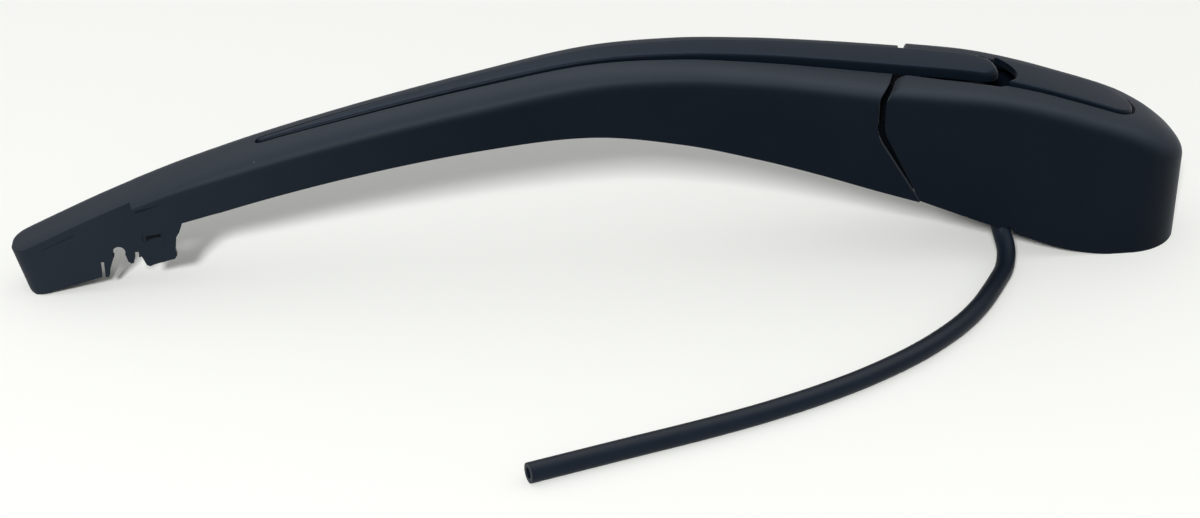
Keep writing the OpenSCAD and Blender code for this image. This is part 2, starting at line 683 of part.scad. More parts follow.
// The tube's points are measured from the hinge pin, and its last ones from the nozzle
tube_rows = [[-3, -9, -11.5], [-6, -8.4, -11.3], [-10, -6.6, -11.1], [-14, -5.5, -10.9],
    [-20, -5.2, -10.7], [-27, -5.4, -10.5], [-32, -6.8, -10], [-36, -8.6, -8.3], [-41, -9.2, -5.5],
    [-48, -9.2, -3.5], [-64, -9.2, -2.8], [-84, -9.2, -2.2], [-104, -9.1, -1.7], [-116, -8, -1.4],
    [-128, -5.2, -1.4]];
tube_end = [[27, -2, 2.9], [15, -0.4, 1.1], [7.5, 0, 0]];
tube_route = concat(
    [for (p = tube_rows) [p[0] - hinge_reach, p[1], p[2] + hinge_h]],
    [for (p = tube_end) [p[0] + nozzle_x, p[1], p[2] + nozzle_z]]);
module arm_tube() {
    color(rubber_colour) stand() tube(smooth_route(tube_route, 2), tube_d / 2, 8);
}

// Clips on the rail's near wall hold the tube
clip_rows = [[52, -3.32], [66, -2.74], [80, -2.32]];
clip_y = -9.2;
module tube_clips() {
    color(clip_colour) stand() for (c = clip_rows) {
        translate([-hinge_reach - c[0], 0, hinge_h + c[1]]) difference() {
            union() {
                translate([0, clip_y, 0]) cross_ring(tube_d / 2 + 0.9, 5);
                translate([-2.5, clip_y, -2.9]) cube([5, -clip_y - rail_half, 1.2]);
            }
            translate([0, clip_y, 0]) cross_ring(tube_d / 2 + 0.2, 7);
            translate([-4, -rail_half, -6]) cube([8, 6, 12]);
        }
    }
}
module cross_ring(r, width) {
    rotate([0, 90, 0]) cylinder(r = r, h = width, center = true);
}

// The washer nozzle is clipped between the arm's walls
module spray_nozzle() {
    color(rubber_colour) stand() translate([nozzle_x, 0, nozzle_z]) difference() {
        union() {
            translate([-6, -nozzle_half, -3.2]) cube([12, 2 * nozzle_half, 6.4]);
            translate([0, 0, -3.2]) cylinder(r1 = 2.4, r2 = 3.4, h = 2, center = true);
            rotate([0, 90, 0]) cylinder(r = 3, h = 7);
        }
        translate([0, 0, -8]) cylinder(r = 0.6, h = 10);
    }
}

head_shell();
hinge_cover();
head_core();
spindle_bush();
hinge_bush();
link_pin();
head_screws();
hose_joiner();
washer_hose();
nut_cap();
arm_shell();
blade_coupling();
centre_strip();
arm_rail();
hinge_pin();
spring_pin();
rail_screws();
arm_tube();
tube_clips();
spray_nozzle();
tension_spring();
spring_link();
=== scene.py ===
# Rear wiper arm with its washer hose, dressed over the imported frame
import math
import bpy
from mathutils import Matrix, Vector


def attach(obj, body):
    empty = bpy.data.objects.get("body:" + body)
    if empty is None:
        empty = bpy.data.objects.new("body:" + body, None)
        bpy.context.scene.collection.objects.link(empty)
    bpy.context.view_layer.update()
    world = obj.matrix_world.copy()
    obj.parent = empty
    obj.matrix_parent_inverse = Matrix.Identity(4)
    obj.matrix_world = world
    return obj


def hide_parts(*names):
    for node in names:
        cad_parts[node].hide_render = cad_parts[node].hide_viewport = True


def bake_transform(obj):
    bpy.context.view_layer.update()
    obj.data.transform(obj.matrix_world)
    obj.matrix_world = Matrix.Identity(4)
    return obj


print("Loading the frame")
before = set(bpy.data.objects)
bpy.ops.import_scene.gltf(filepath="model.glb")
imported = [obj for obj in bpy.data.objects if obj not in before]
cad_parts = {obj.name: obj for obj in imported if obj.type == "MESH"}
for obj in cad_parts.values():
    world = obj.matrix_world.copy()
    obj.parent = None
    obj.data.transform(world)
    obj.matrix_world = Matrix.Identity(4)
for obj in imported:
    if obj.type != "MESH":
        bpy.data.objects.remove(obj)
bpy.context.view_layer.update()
mm = 0.001
hubLift = 15  # heights are above the table; the frame's zero is the hub's mouth

print("Camera")
camera = {"lens": 69, "sensor": 36, "place": (-0.215644, -0.600082, 0.317683), "down": 29, "turn": 6.662}


def makeCamera(c):
    down = math.radians(90 - c["down"])
    bpy.ops.object.camera_add(location=c["place"], rotation=(down, 0, -math.radians(c["turn"])))
    shot = bpy.context.object
    shot.data.lens = c["lens"]
    shot.data.sensor_width = c["sensor"]
    shot.data.clip_start = 0.01
    bpy.context.scene.camera = shot


makeCamera(camera)


# Selection and mesh helpers
def choose(piece):
    bpy.ops.object.select_all(action="DESELECT")
    piece.select_set(True)
    bpy.context.view_layer.objects.active = piece


def at(x, y, z):
    return Vector((x, y, z - hubLift)) * mm


def meshPiece(name, points, faces):
    mesh = bpy.data.meshes.new(name)
    mesh.from_pydata([at(*p) for p in points], [], faces)
    piece = bpy.data.objects.new(name, mesh)
    bpy.context.scene.collection.objects.link(piece)
    return piece


def faceOutwards(piece):
    choose(piece)
    bpy.ops.object.mode_set(mode="EDIT")
    bpy.ops.mesh.select_all(action="SELECT")
    bpy.ops.mesh.remove_doubles(threshold=0.000002)
    bpy.ops.mesh.normals_make_consistent(inside=False)
    bpy.ops.object.mode_set(mode="OBJECT")


def loft(name, rings):  # closed rings, one for each station, with both ends capped
    n = len(rings)
    m = len(rings[0])
    faces = [(i * m + j, i * m + (j + 1) % m, (i + 1) * m + (j + 1) % m, (i + 1) * m + j)
             for i in range(n - 1) for j in range(m)]
    faces.append(tuple(range(m)))
    faces.append(tuple(n * m - 1 - j for j in range(m)))
    piece = meshPiece(name, [p for ring in rings for p in ring], faces)
    faceOutwards(piece)
    return piece


def prism(name, outline, move):  # an outline's face, extruded along move
    piece = meshPiece(name, outline, [tuple(range(len(outline)))])
    choose(piece)
    bpy.ops.object.mode_set(mode="EDIT")
    bpy.ops.mesh.select_all(action="SELECT")
    bpy.ops.mesh.extrude_region_move(TRANSFORM_OT_translate={"value": Vector(move) * mm})
    bpy.ops.object.mode_set(mode="OBJECT")
    faceOutwards(piece)
    return piece


def across(name, outline, width=60):  # a side view outline made solid across Y
    return prism(name, [(x, -width / 2, z) for x, z in outline], (0, width, 0))


def upwards(name, outline, low, high):  # a plan outline made solid upwards
    return prism(name, [(x, y, low) for x, y in outline], (0, 0, high - low))


def rod(name, start, end, radius, sides=48):
    a, b = at(*start), at(*end)
    turn = (b - a).to_track_quat("Z", "Y").to_euler()
    bpy.ops.object.select_all(action="DESELECT")
    bpy.ops.mesh.primitive_cylinder_add(vertices=sides, radius=radius * mm, depth=(b - a).length,
                                        location=(a + b) / 2, rotation=turn)
    piece = bpy.context.object
    piece.name = name
    settle(piece)
    return piece


def settle(piece):  # puts the piece's place into its mesh
    choose(piece)
    bpy.ops.object.transform_apply(location=True, rotation=True, scale=True)


def cut(piece, tool, operation="DIFFERENCE"):
    choose(piece)
    step = piece.modifiers.new("cut", "BOOLEAN")
    step.operation = operation
    step.object = tool
    step.solver = "EXACT"
    bpy.ops.object.modifier_apply(modifier="cut")
    bpy.data.objects.remove(tool)


def smooth(piece, angle=32):
    faceOutwards(piece)
    choose(piece)
    bpy.ops.object.shade_smooth_by_angle(angle=math.radians(angle))
    bpy.ops.object.modifier_add(type="WEIGHTED_NORMAL")
    step = piece.modifiers[-1]
    step.keep_sharp = True
    bpy.ops.object.modifier_apply(modifier=step.name)


def dress(piece, body, nodes, material):
    piece.data.materials.clear()
    piece.data.materials.append(material)
    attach(piece, body)
    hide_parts(*nodes)


# Smooth curve through a few (place, value) pairs
def curveAt(pairs, x):
    last = len(pairs) - 2
    i = next((k for k in range(last) if x < pairs[k + 1][0]), last)

    def lean(k):
        a, b = max(k - 1, 0), min(k + 1, len(pairs) - 1)
        return (pairs[b][1] - pairs[a][1]) / (pairs[b][0] - pairs[a][0])
    span = pairs[i + 1][0] - pairs[i][0]
    t = max(0, min(1, (x - pairs[i][0]) / span))
    d = pairs[i + 1][1] - pairs[i][1]
    m0, m1 = lean(i) * span, lean(i + 1) * span
    return pairs[i][1] + t * (m0 + t * (3 * d - 2 * m0 - m1 + t * (m0 + m1 - 2 * d)))


def between(p, i, t):
    a, b, c, d = (Vector(p[k]) for k in (max(i - 1, 0), i, i + 1, min(i + 2, len(p) - 1)))
    return b + t * 0.5 * (c - a + t * (2 * a - 5 * b + 4 * c - d + t * (3 * b - a - 3 * c + d)))


def smoothRoute(p, k):
    return [between(p, i, j / k) for i in range(len(p) - 1) for j in range(k)] + [Vector(p[-1])]


def tube(name, path, radius, bore, sides=28):  # a hollow tube along a path, with both ends cut square
    rings = []
    for i, p in enumerate(path):
        ahead = (path[min(i + 1, len(path) - 1)] - path[max(i - 1, 0)]).normalized()
        u = ahead.cross(Vector((0.1, 0.2, 1))).normalized()
        rings.append((p, u, ahead.cross(u)))

    def ringAt(k, r):
        p, u, v = rings[k]
        return [tuple(p + r * (math.cos(a) * u + math.sin(a) * v))
                for a in (2 * math.pi * j / sides for j in range(sides))]
    order = [(k, radius) for k in range(len(path))] + [(k, bore) for k in reversed(range(len(path)))]
    points = [q for k, r in order for q in ringAt(k, r)]
    n = len(order)
    faces = [(i * sides + j, i * sides + (j + 1) % sides, (i + 1) % n * sides + (j + 1) % sides,
              (i + 1) % n * sides + j) for i in range(n) for j in range(sides)]
    piece = meshPiece(name, points, faces)
    faceOutwards(piece)
    return piece


# Materials. Colours are sRGB hex values
def linear(code):
    values = [int(code[i:i + 2], 16) / 255 for i in (1, 3, 5)]
    return [v / 12.92 if v <= 0.04045 else ((v + 0.055) / 1.055) ** 2.4 for v in values] + [1]


def addNode(material, kind, links=None, **values):  # a node with its settings and the links into it
    node = material.node_tree.nodes.new(kind)
    for name, value in values.items():
        setattr(node, name, value)
    for socket, source in (links or {}).items():
        if isinstance(source, tuple) and hasattr(source[0], "outputs"):
            material.node_tree.links.new(source[0].outputs[source[1]], node.inputs[socket])
        else:
            node.inputs[socket].default_value = source
    return node


def newMaterial(name, settings):
    material = bpy.data.materials.new(name)
    material.use_nodes = True
    shader = material.node_tree.nodes["Principled BSDF"]
    for socket, value in settings.items():
        shader.inputs[socket].default_value = value
    return material, shader


sheen = {"Sheen Weight": 0.06, "Sheen Roughness": 0.35, "Sheen Tint": linear("#d5dfec")}
# Painted light: the cover is mixed lighter towards the tip, between these two places
paintedTipLightFrom, paintedTipLightFull = -0.17, -0.31  # metres along the arm
dustColour, dustRare = "#8c9096", 0.9


def mouldedPlastic(name, look):
    # Black ABS from a mould: grain too fine to resolve is drawn at about half a millimetre
    material, shader = newMaterial(name, {"Roughness": look["roughness"], "IOR": 1.5,
                                          "Specular IOR Level": look["specular"], **sheen})
    place = addNode(material, "ShaderNodeTexCoord")
    grain = addNode(material, "ShaderNodeTexNoise",
                    {"Vector": (place, "Object"), "Scale": 1 / (look["grain"] * mm), "Detail": 2.0})
    cloud = addNode(material, "ShaderNodeTexNoise",
                    {"Vector": (place, "Object"), "Scale": 1 / (look["cloud"] * mm), "Detail": 3.0})
    tone = addNode(material, "ShaderNodeMix", {"Factor": (cloud, "Fac"), "A": linear(look["dark"]),
                                               "B": linear(look["light"])}, data_type="RGBA")
    # Painted light: a lighter grey-blue colour is mixed in on what faces up, as painted top light, and
    # towards the tip, as painted light on the blade end
    up = addNode(material, "ShaderNodeSeparateXYZ", {"Vector": (place, "Normal")})
    # painted top light: the more a face points up, the more of the lighter colour it gets
    level = addNode(material, "ShaderNodeMapRange",
                    {"Value": (up, "Z"), "From Min": look["paintedTopFrom"], "From Max": look["paintedTopFull"]},
                    interpolation_type="SMOOTHSTEP")
    patchy = addNode(material, "ShaderNodeMapRange", {"Value": (cloud, "Fac"), "To Min": 0.75, "To Max": 1.0})
    along = addNode(material, "ShaderNodeSeparateXYZ", {"Vector": (place, "Object")})
    # painted light towards the tip, growing along the arm's length
    paintedTipLight = addNode(material, "ShaderNodeMapRange",
                      {"Value": (along, "X"), "From Min": paintedTipLightFrom, "From Max": paintedTipLightFull,
                       "To Max": look["paintedTipGain"]})
    either = addNode(material, "ShaderNodeMath", {0: (level, "Result"), 1: (paintedTipLight, "Result")},
                     operation="MAXIMUM")
    amount = addNode(material, "ShaderNodeMath", {0: (either, "Value"), 1: (patchy, "Result")},
                     operation="MULTIPLY")
    # mixes in the lighter painted light colour
    paintedLit = addNode(material, "ShaderNodeMix", {"Factor": (amount, "Value"), "A": (tone, "Result"),
                                                 "B": linear(look["paintedLight"])}, data_type="RGBA")
    cells = addNode(material, "ShaderNodeTexVoronoi",
                    {"Vector": (place, "Object"), "Scale": 1 / (look["dustGap"] * mm)})
    speck = addNode(material, "ShaderNodeMath", {0: (cells, "Distance"), 1: look["dustSize"]},
                    operation="LESS_THAN")
    chance = addNode(material, "ShaderNodeSeparateColor", {"Color": (cells, "Color")})
    some = addNode(material, "ShaderNodeMath", {0: (chance, "Red"), 1: dustRare}, operation="GREATER_THAN")
    dust = addNode(material, "ShaderNodeMath", {0: (speck, "Value"), 1: (some, "Value")},
                   operation="MULTIPLY")
    finish = addNode(material, "ShaderNodeMix", {"Factor": (dust, "Value"), "A": (paintedLit, "Result"),
                                                 "B": linear(dustColour)}, data_type="RGBA")
    rounded = addNode(material, "ShaderNodeBevel", {"Radius": look["edge"] * mm}, samples=6)
    relief = addNode(material, "ShaderNodeBump",
                     {"Height": (grain, "Fac"), "Normal": (rounded, "Normal"),
                      "Strength": look["relief"], "Distance": 0.05 * mm})
    links = material.node_tree.links
    links.new(finish.outputs["Result"], shader.inputs["Base Color"])
    links.new(relief.outputs["Normal"], shader.inputs["Normal"])
    return material


def worn(name, look):
    # Metal, rubber and the inner plastics: a soft cloud moves the colour and the roughness a little
    material, shader = newMaterial(name, {"Metallic": look["metal"], "Roughness": look["roughness"],
                                          "Specular IOR Level": look.get("specular", 0.5)})
    place = addNode(material, "ShaderNodeTexCoord")
    spread = addNode(material, "ShaderNodeMapping",
                     {"Vector": (place, "Object"), "Scale": look.get("stretch", (1, 1, 1))})
    cloud = addNode(material, "ShaderNodeTexNoise",
                    {"Vector": (spread, "Vector"), "Scale": 1 / (look["cloud"] * mm), "Detail": 4.0})
    tone = addNode(material, "ShaderNodeMix", {"Factor": (cloud, "Fac"), "A": linear(look["dark"]),
                                               "B": linear(look["light"])}, data_type="RGBA")
    gloss = addNode(material, "ShaderNodeMapRange",
                    {"Value": (cloud, "Fac"), "To Min": look["roughness"] - 0.08,
                     "To Max": look["roughness"] + 0.08})
    rounded = addNode(material, "ShaderNodeBevel", {"Radius": 0.2 * mm}, samples=4)
    relief = addNode(material, "ShaderNodeBump",
                     {"Height": (cloud, "Fac"), "Normal": (rounded, "Normal"),
                      "Strength": look["relief"], "Distance": 0.05 * mm})
    links = material.node_tree.links
    links.new(tone.outputs["Result"], shader.inputs["Base Color"])
    links.new(gloss.outputs["Result"], shader.inputs["Roughness"])
    links.new(relief.outputs["Normal"], shader.inputs["Normal"])
    return material


print("Materials")
finishes = {
    # The last line of each finish sets painted light: the lighter colour for upward faces, where it starts
    # and is full, and how much lighter the cover gets towards the tip
    "coverAbs": {"dark": "#040a12", "light": "#080f18", "roughness": 0.5, "specular": 0.05, "grain": 0.5,
                 "cloud": 25, "relief": 0.35, "edge": 0.45, "dustGap": 7, "dustSize": 0.022,
                 "paintedLight": "#2a3038", "paintedTopFrom": -0.1, "paintedTopFull": 0.85, "paintedTipGain": 0.5},
    "trimAbs": {"dark": "#060d15", "light": "#0a121a", "roughness": 0.4, "specular": 0.06, "grain": 0.25,
                "cloud": 30, "relief": 0.06, "edge": 0.35, "dustGap": 11, "dustSize": 0.012,
                "paintedLight": "#0c1a29", "paintedTopFrom": 0.4, "paintedTopFull": 0.97, "paintedTipGain": 0},
}
coverAbs = mouldedPlastic("sparkErodedAbs", finishes["coverAbs"])  # fine matt grain
trimAbs = mouldedPlastic("satinAbs", finishes["trimAbs"])  # smoother, with a soft sheen
epdmRubber = worn("extrudedEpdm", {"metal": 0, "roughness": 0.45, "specular": 0.1, "cloud": 6,
                                   "dark": "#0b121b", "light": "#101823", "relief": 0.1})
# Painted shade: the lips behind the seam get this colour, darker than the cover they belong to, so the seam
# shows as deep shade
shadedAbs = worn("paintedSeamShadeAbs", {"metal": 0, "roughness": 0.7, "specular": 0.03, "cloud": 5, "dark": "#020406",
                              "light": "#04070a", "relief": 0.1})
coatedCasting = worn("blackCoatedCasting", {"metal": 0, "roughness": 0.5, "specular": 0.15, "cloud": 1.2,
                                            "dark": "#06090d", "light": "#0c1015", "relief": 0.5})
platedSteel = worn("zincPlatedSteel", {"metal": 1, "roughness": 0.3, "cloud": 4, "dark": "#9a9a96",
                                       "light": "#b4b5b3", "relief": 0.1})
coatedSteel = worn("blackCoatedSteel", {"metal": 0, "roughness": 0.45, "specular": 0.12, "cloud": 3,
                                        "dark": "#05080c", "light": "#0a0e13", "relief": 0.2})
acetal = worn("blackAcetal", {"metal": 0, "roughness": 0.35, "specular": 0.3, "cloud": 5, "dark": "#0d1013",
                              "light": "#14181c", "relief": 0.05})

print("Washer hose")
hose = {
    "radius": 2.75, "bore": 1.5,
    "route": [(-31, -9, 27), (-31, -9, 24.5), (-31, -9, 22), (-30.5, -9.6, 19), (-29.6, -11.4, 15.4),
              (-28.3, -14.5, 11.8), (-27.4, -18, 8.1), (-27.2, -21.6, 5.6), (-28.2, -25.6, 3.9),
              (-30, -29.8, 3), (-32.6, -34.2, 2.8), (-36.4, -40.4, 2.8), (-41.8, -48.5, 2.8),
              (-48.3, -56.5, 2.8), (-56.5, -64.5, 2.8), (-67.5, -73.3, 2.8), (-82, -82.5, 2.8),
              (-97, -90.2, 2.8), (-114.3, -97.5, 2.8), (-131.4, -103.5, 2.8), (-147.8, -108.6, 2.8),
              (-164, -113.7, 2.8), (-177.6, -118, 2.8)],
}


def makeHose(h):
    path = smoothRoute(h["route"], 6)
    piece = tube("washerHose", path, h["radius"], h["bore"])
    smooth(piece, 50)
    dress(piece, "head", ("washer_hose",), epdmRubber)


makeHose(hose)

print("Head cover")
wall = 2.4
gap = 1.0
hingeReach, hingeHeight = 36, 49.5
rimRadius, rimOffset = 18.5, 12
rimClose = 0.9995  # the last ring stops just short of the rim's full reach
headSlope, armSlope, seamSlant = 207.5, 212.6, 0.36
nearSlant, nearTop = 0.18, 47  # the arm's near face turns away from the seam up to this height
kneeLength, heelLength = 21.6, 80
farUp = 120  # well above all pieces
# Each seam: the low arc's centre and radius, the slope below it, the high arc's centre, radius and end
headSeam = (-hingeReach - 19.4, hingeHeight - 2.3, 10, headSlope,
            -hingeReach - 24.4, hingeHeight + 3.1, 5, 90)
armSeam = (-hingeReach - 18.5, hingeHeight - 2.5, 13, armSlope,
           -hingeReach - 25.5, hingeHeight + 3.5, 6, 130)
shoulderDrop = [(2.6, 0.54), (2.8, 0.54), (3.5, 0.47), (5, 0.42), (6, 0.4)]
head = {
    "top": [(-70, 59.2), (-50, 56.6), (-33, 54.1), (-18, 50.5), (-4, 46.2), (12, 40.8), (20, 37.2),
            (25, 33.8), (28, 30.9), (29.6, 28.3), (30.5, 25.4)],
    "base": [(-75, 31.5), (-53.6, 21.8), (-20, 7.3), (-11.7, 3.9), (-4.8, 1.8), (6, 0), (40, 0)],
    "square": [(-70, 6), (-33, 5.6), (-10, 4.7), (8, 4), (20, 3), (31, 2.6)],
    "slotTail": [(-70, 7.75), (-60, 8.55), (-48, 10.15), (-38, 10.95), (-30, 11.05)],
    "start": -68, "shoulderLow": 24.5, "openLow": 20, "openHigh": 90,
    "notch": (-27.4, -18, 8.1), "notchTilt": 46, "notchRadius": 3.25, "notchReach": 8,
    "postY": 13.6, "postRadius": 2.4, "postLow": 19, "postHigh": 42.6, "screwRadius": 1.2, "screwDepth": 12,
}
lip = {"edge": [(-65.4, 46), (-65.4, 41.5)], "knee": (-57.2, 25.8), "foot": (-54.6, 22.3), "wallPlace": 15.5,
       "lap": (-5, 6, 14.95, 16.05), "root": (0.8, 6, 15.9, 16.7)}
cap = {"from": -27.5, "nose": 13.8, "wide": 5, "full": 9.6, "thick": 2, "round": 0.7,
       "notchX": -22.3, "notchRadius": 10.5,
       "rows": [(-28, 8.6), (-18, 8.75), (-8, 9.15), (5, 9.6)],
       "proud": [(-28, 1.4), (-18, 1.1), (0, 0.9), (13.8, 0.5)],
       "pivot": (9.4, 39.7), "pin": 0.7, "pinReach": 10.9, "pinPlay": 0.05, "lug": 7.9, "lugHalf": 1.2}


def section(x, half, top, drop, square, base, steps=26):  # one closed ring of a cover
    side = []
    for i in range(steps + 1):
        a = math.pi / 2 * i / steps
        side.append((half * math.sin(a) ** (2 / square),
                     top - drop * (1 - max(0, math.cos(a)) ** (2 / square))))
    right = [(x, y, z) for y, z in reversed(side)]
    left = [(x, -y, z) for y, z in side[1:]]
    return [(x, half, base)] + right + left + [(x, -half, base)]


def headHalf(x):
    if x < rimOffset:
        return rimRadius + 0.8 * min(1, (rimOffset - x) / 60)
    return math.sqrt(max(0.04, rimRadius ** 2 - (x - rimOffset) ** 2))


def headRing(x, inset, sink, steps):
    half = max(0.3, headHalf(x) - inset)
    square = curveAt(head["square"], x)
    top = curveAt(head["top"], x)
    drop = min(top - head["shoulderLow"], headHalf(x) * curveAt(shoulderDrop, square)) - inset / 2
    pull = inset * max(0, x - rimOffset) / rimRadius
    base = max(0, curveAt(head["base"], x)) - sink
    return section(x - pull, half, top - inset, drop, square, base, steps)


def headForm(name, inset, sink, pitch, turn, steps):
    stations = [head["start"] + pitch * i for i in range(int((rimOffset - head["start"]) / pitch))]
    stations += [rimOffset + rimRadius * math.sin(math.radians(a)) for a in range(0, 88, turn)]
    stations.append(rimOffset + rimRadius * rimClose)
    return loft(name, [headRing(x, inset, sink, steps) for x in stations])


def capHalf(x):
    if x < cap["wide"]:
        return curveAt(cap["rows"], x)
    t = (x - cap["wide"]) / (cap["nose"] - cap["wide"])
    return cap["full"] * math.sqrt(max(0.001, 1 - t * t))


def headOpening():
    near = list(head["slotTail"])
    near += [(cap["from"] + 2 * i, capHalf(cap["from"] + 2 * i) + gap) for i in range(17)]
    long = cap["nose"] - cap["wide"] + gap
    rim = [(cap["wide"] + long * math.cos(math.radians(a)), (cap["full"] + gap) * math.sin(math.radians(a)))
           for a in range(90, -91, -5)]
    far = [(x, -y) for x, y in reversed(near)]
    return upwards("opening", near + rim + far, head["openLow"], head["openHigh"])


def arc(x, z, r, a0, a1, n=14):
    angles = [math.radians(a0 + (a1 - a0) * i / n) for i in range(n + 1)]
    return [(x + r * math.cos(a), z + r * math.sin(a)) for a in angles]


def seamLine(lowX, lowZ, lowR, slope, highX, highZ, highR, last):  # the seam in side view, from below
    a, foot = math.radians(slope), math.radians(headSlope)
    knee = (lowX + lowR * math.cos(a) - kneeLength * math.sin(a),
            lowZ + lowR * math.sin(a) + kneeLength * math.cos(a))
    heel = (knee[0] - heelLength * math.sin(foot), knee[1] + heelLength * math.cos(foot))
    line = [heel, knee] + arc(lowX, lowZ, lowR, slope, 180) + arc(highX, highZ, highR, 180, last)
    return line + [(line[-1][0], farUp)]


# Cuts the covers along a seam: a side view outline made solid across Y, then slanted in plan
def seamTool(name, line, closing, slant=seamSlant, start=-30, depth=60):
    tool = prism(name, [(x, start, z) for x, z in line + closing], (0, depth, 0))
    shift = slant * rimRadius * mm
    tool.data.transform(Matrix(((1, slant, 0, shift), (0, 1, 0, 0), (0, 0, 1, 0), (0, 0, 0, 1))))
    return tool


def lipBand(side, start, end, low, high):  # a strip of the lip inside a wall, behind the seam
    (kneeX, kneeZ), (footX, footZ) = lip["knee"], lip["foot"]
    outline = [(x + start, z) for x, z in lip["edge"]] + [(start + kneeX, kneeZ), (end + footX, footZ)]
    outline += [(x + end, z) for x, z in reversed(lip["edge"])]
    shift = seamSlant * (rimRadius + side * lip["wallPlace"])
    inner, outer = sorted((side * low, side * high))
    return prism("lip", [(x + shift, inner, z) for x, z in outline], (0, outer - inner, 0))


def makeHead(h):
    cover = headForm("headCover", 0, 0, 1.5, 3, 26)
    cut(cover, headForm("hollow", wall, 6, 4, 8, 10))
    cut(cover, headOpening())
    px, pz = cap["pivot"]
    for side in (-1, 1):
        y, low = side * h["postY"], h["postLow"]
        cut(cover, rod("post", (0, y, low), (0, y, h["postHigh"]), h["postRadius"]), "UNION")
        cut(cover, rod("hole", (0, y, low - 1), (0, y, low + h["screwDepth"]), h["screwRadius"], 24))
    reach = cap["pinReach"] + 0.2
    cut(cover, rod("pivot", (px, -reach, pz), (px, reach, pz), cap["pin"] + cap["pinPlay"], 32))
    line = seamLine(*headSeam)
    cut(cover, seamTool("seam", line, [(-200, farUp), (-200, line[0][1])]))
    nx, ny, nz = h["notch"]
    tilt = math.radians(h["notchTilt"])
    dy, dz = math.sin(tilt) * h["notchReach"], math.cos(tilt) * h["notchReach"]
    cut(cover, rod("notch", (nx, ny - dy, nz - dz), (nx, ny + dy, nz + dz), h["notchRadius"], 40))
    smooth(cover)
    dress(cover, "head", ("head_shell", "hinge_cover"), coverAbs)
    # The lips behind the seam wear the darker painted shade colour
    for side, name in ((-1, "nearSeamLip"), (1, "farSeamLip")):
        band = lipBand(side, *lip["lap"])
        cut(band, lipBand(side, *lip["root"]), "UNION")
        band.name = name
        smooth(band)
        dress(band, "head", ("hinge_cover",), shadedAbs)


makeHead(head)


def roundedBar(x, half, top, base, edge, crown=0.1):  # one ring of the strip or the cap
    edge = min(edge, half / 2)
    corner = [(half - edge + edge * math.sin(a), top - edge + edge * math.cos(a))
              for a in (math.pi / 2 * i / 5 for i in range(6))]
    flat = [((half - edge) * i / 6, top + crown * (1 - (i / 6) ** 2)) for i in range(6)]
    side = [(x, y, z) for y, z in flat + corner]
    return [(x, half, base)] + side[::-1] + [(x, -y, z) for _, y, z in side[1:]] + [(x, -half, base)]


def roundEnd(x, end, edge):  # how far the top drops towards a rounded end
    u = max(0, min(1, (edge - abs(end - x)) / edge))
    return edge * (1 - math.sqrt(max(0, 1 - u * u)))


print("Nut cap")


def makeCap(c):
    stations = [c["from"] + (c["wide"] - c["from"]) * i / 26 for i in range(26)]
    stations += [c["wide"] + (c["nose"] - c["wide"]) * math.sin(math.radians(a)) for a in range(0, 91, 3)]
    rings = []
    for x in stations:
        top = curveAt(head["top"], x) + curveAt(c["proud"], x)
        rings.append(roundedBar(x, capHalf(x), top - roundEnd(x, c["nose"], c["round"]), top - c["thick"],
                                c["round"]))
    piece = loft("nutCap", rings)
    thumbX = c["notchX"] - c["notchRadius"]
    cut(piece, rod("thumb", (thumbX, 0, 10), (thumbX, 0, 90), c["notchRadius"], 128))
    px, pz = c["pivot"]
    lug, thick = c["lug"], c["lugHalf"]
    foot = [(px - thick, -lug), (px + thick, -lug), (px + thick, lug), (px - thick, lug)]
    cut(piece, upwards("lug", foot, pz - c["pin"], pz + thick), "UNION")
    cut(piece, rod("pins", (px, -c["pinReach"], pz), (px, c["pinReach"], pz), c["pin"], 32), "UNION")
    smooth(piece)
    dress(piece, "cap", ("nut_cap",), trimAbs)


makeCap(cap)

print("Arm cover")
seamReach = hingeReach + 29.8
bladeReach = 286
arm = {
    "rows": [(-0.18, 52.4, 19.3, 12.6, 5), (-0.09, 55.5, 19.3, 18.8, 5), (0.00, 58.2, 19.0, 25.4, 5),
             (0.08, 60.7, 17.6, 31.2, 4.8), (0.16, 62.9, 16.2, 36.4, 4.4), (0.26, 64.7, 14.7, 41.7, 3.8),
             (0.38, 64.1, 13.4, 44.9, 3.2), (0.52, 58.6, 12.2, 42.0, 2.8), (0.68, 50.5, 11.2, 35.7, 2.7),
             (0.84, 40.9, 10.2, 27.0, 2.6), (1.00, 27.5, 9.4, 16.0, 4.2), (1.15, 12.9, 8.6, 4.5, 4.4)],
    "skirtFrom": 0.88, "skirtSlope": 250, "skirtLow": -6,
    "railClimb": 2, "railScrews": ((46, 4.2), (98, 5.6)), "knuckle": 3.8, "bossRadius": 3,
    "hollowFrom": -0.13, "hollowSpan": 1.245, "narrowFrom": 0.93, "narrowFull": 0.98,
    "stripThicker": 0.6, "thickerTo": 0.9,
}
armTop, armHalf, armBase, armSquare = ([(r[0], r[k]) for r in arm["rows"]] for k in (1, 2, 3, 4))
strip = {"end": 0.81, "tailX": -28, "tailRadius": 6.75, "seat": 1.4, "tailThick": 3.2, "round": 0.75,
         "tailRoll": 2.2, "rollLength": 12, "roundLength": 4, "grooveFrom": -0.16, "lift": 0.3,
         "rows": [(-0.18, 6.75), (0, 6.45), (0.2, 5.4), (0.38, 4.3), (0.52, 3.5), (0.68, 2.2), (0.81, 0.9)],
         "proud": [(-0.2, 2.8), (0, 2.7), (0.08, 2.4), (0.16, 2.0), (0.26, 1.4), (0.38, 0.9), (0.52, 0.7),
                   (0.81, 0.3)]}
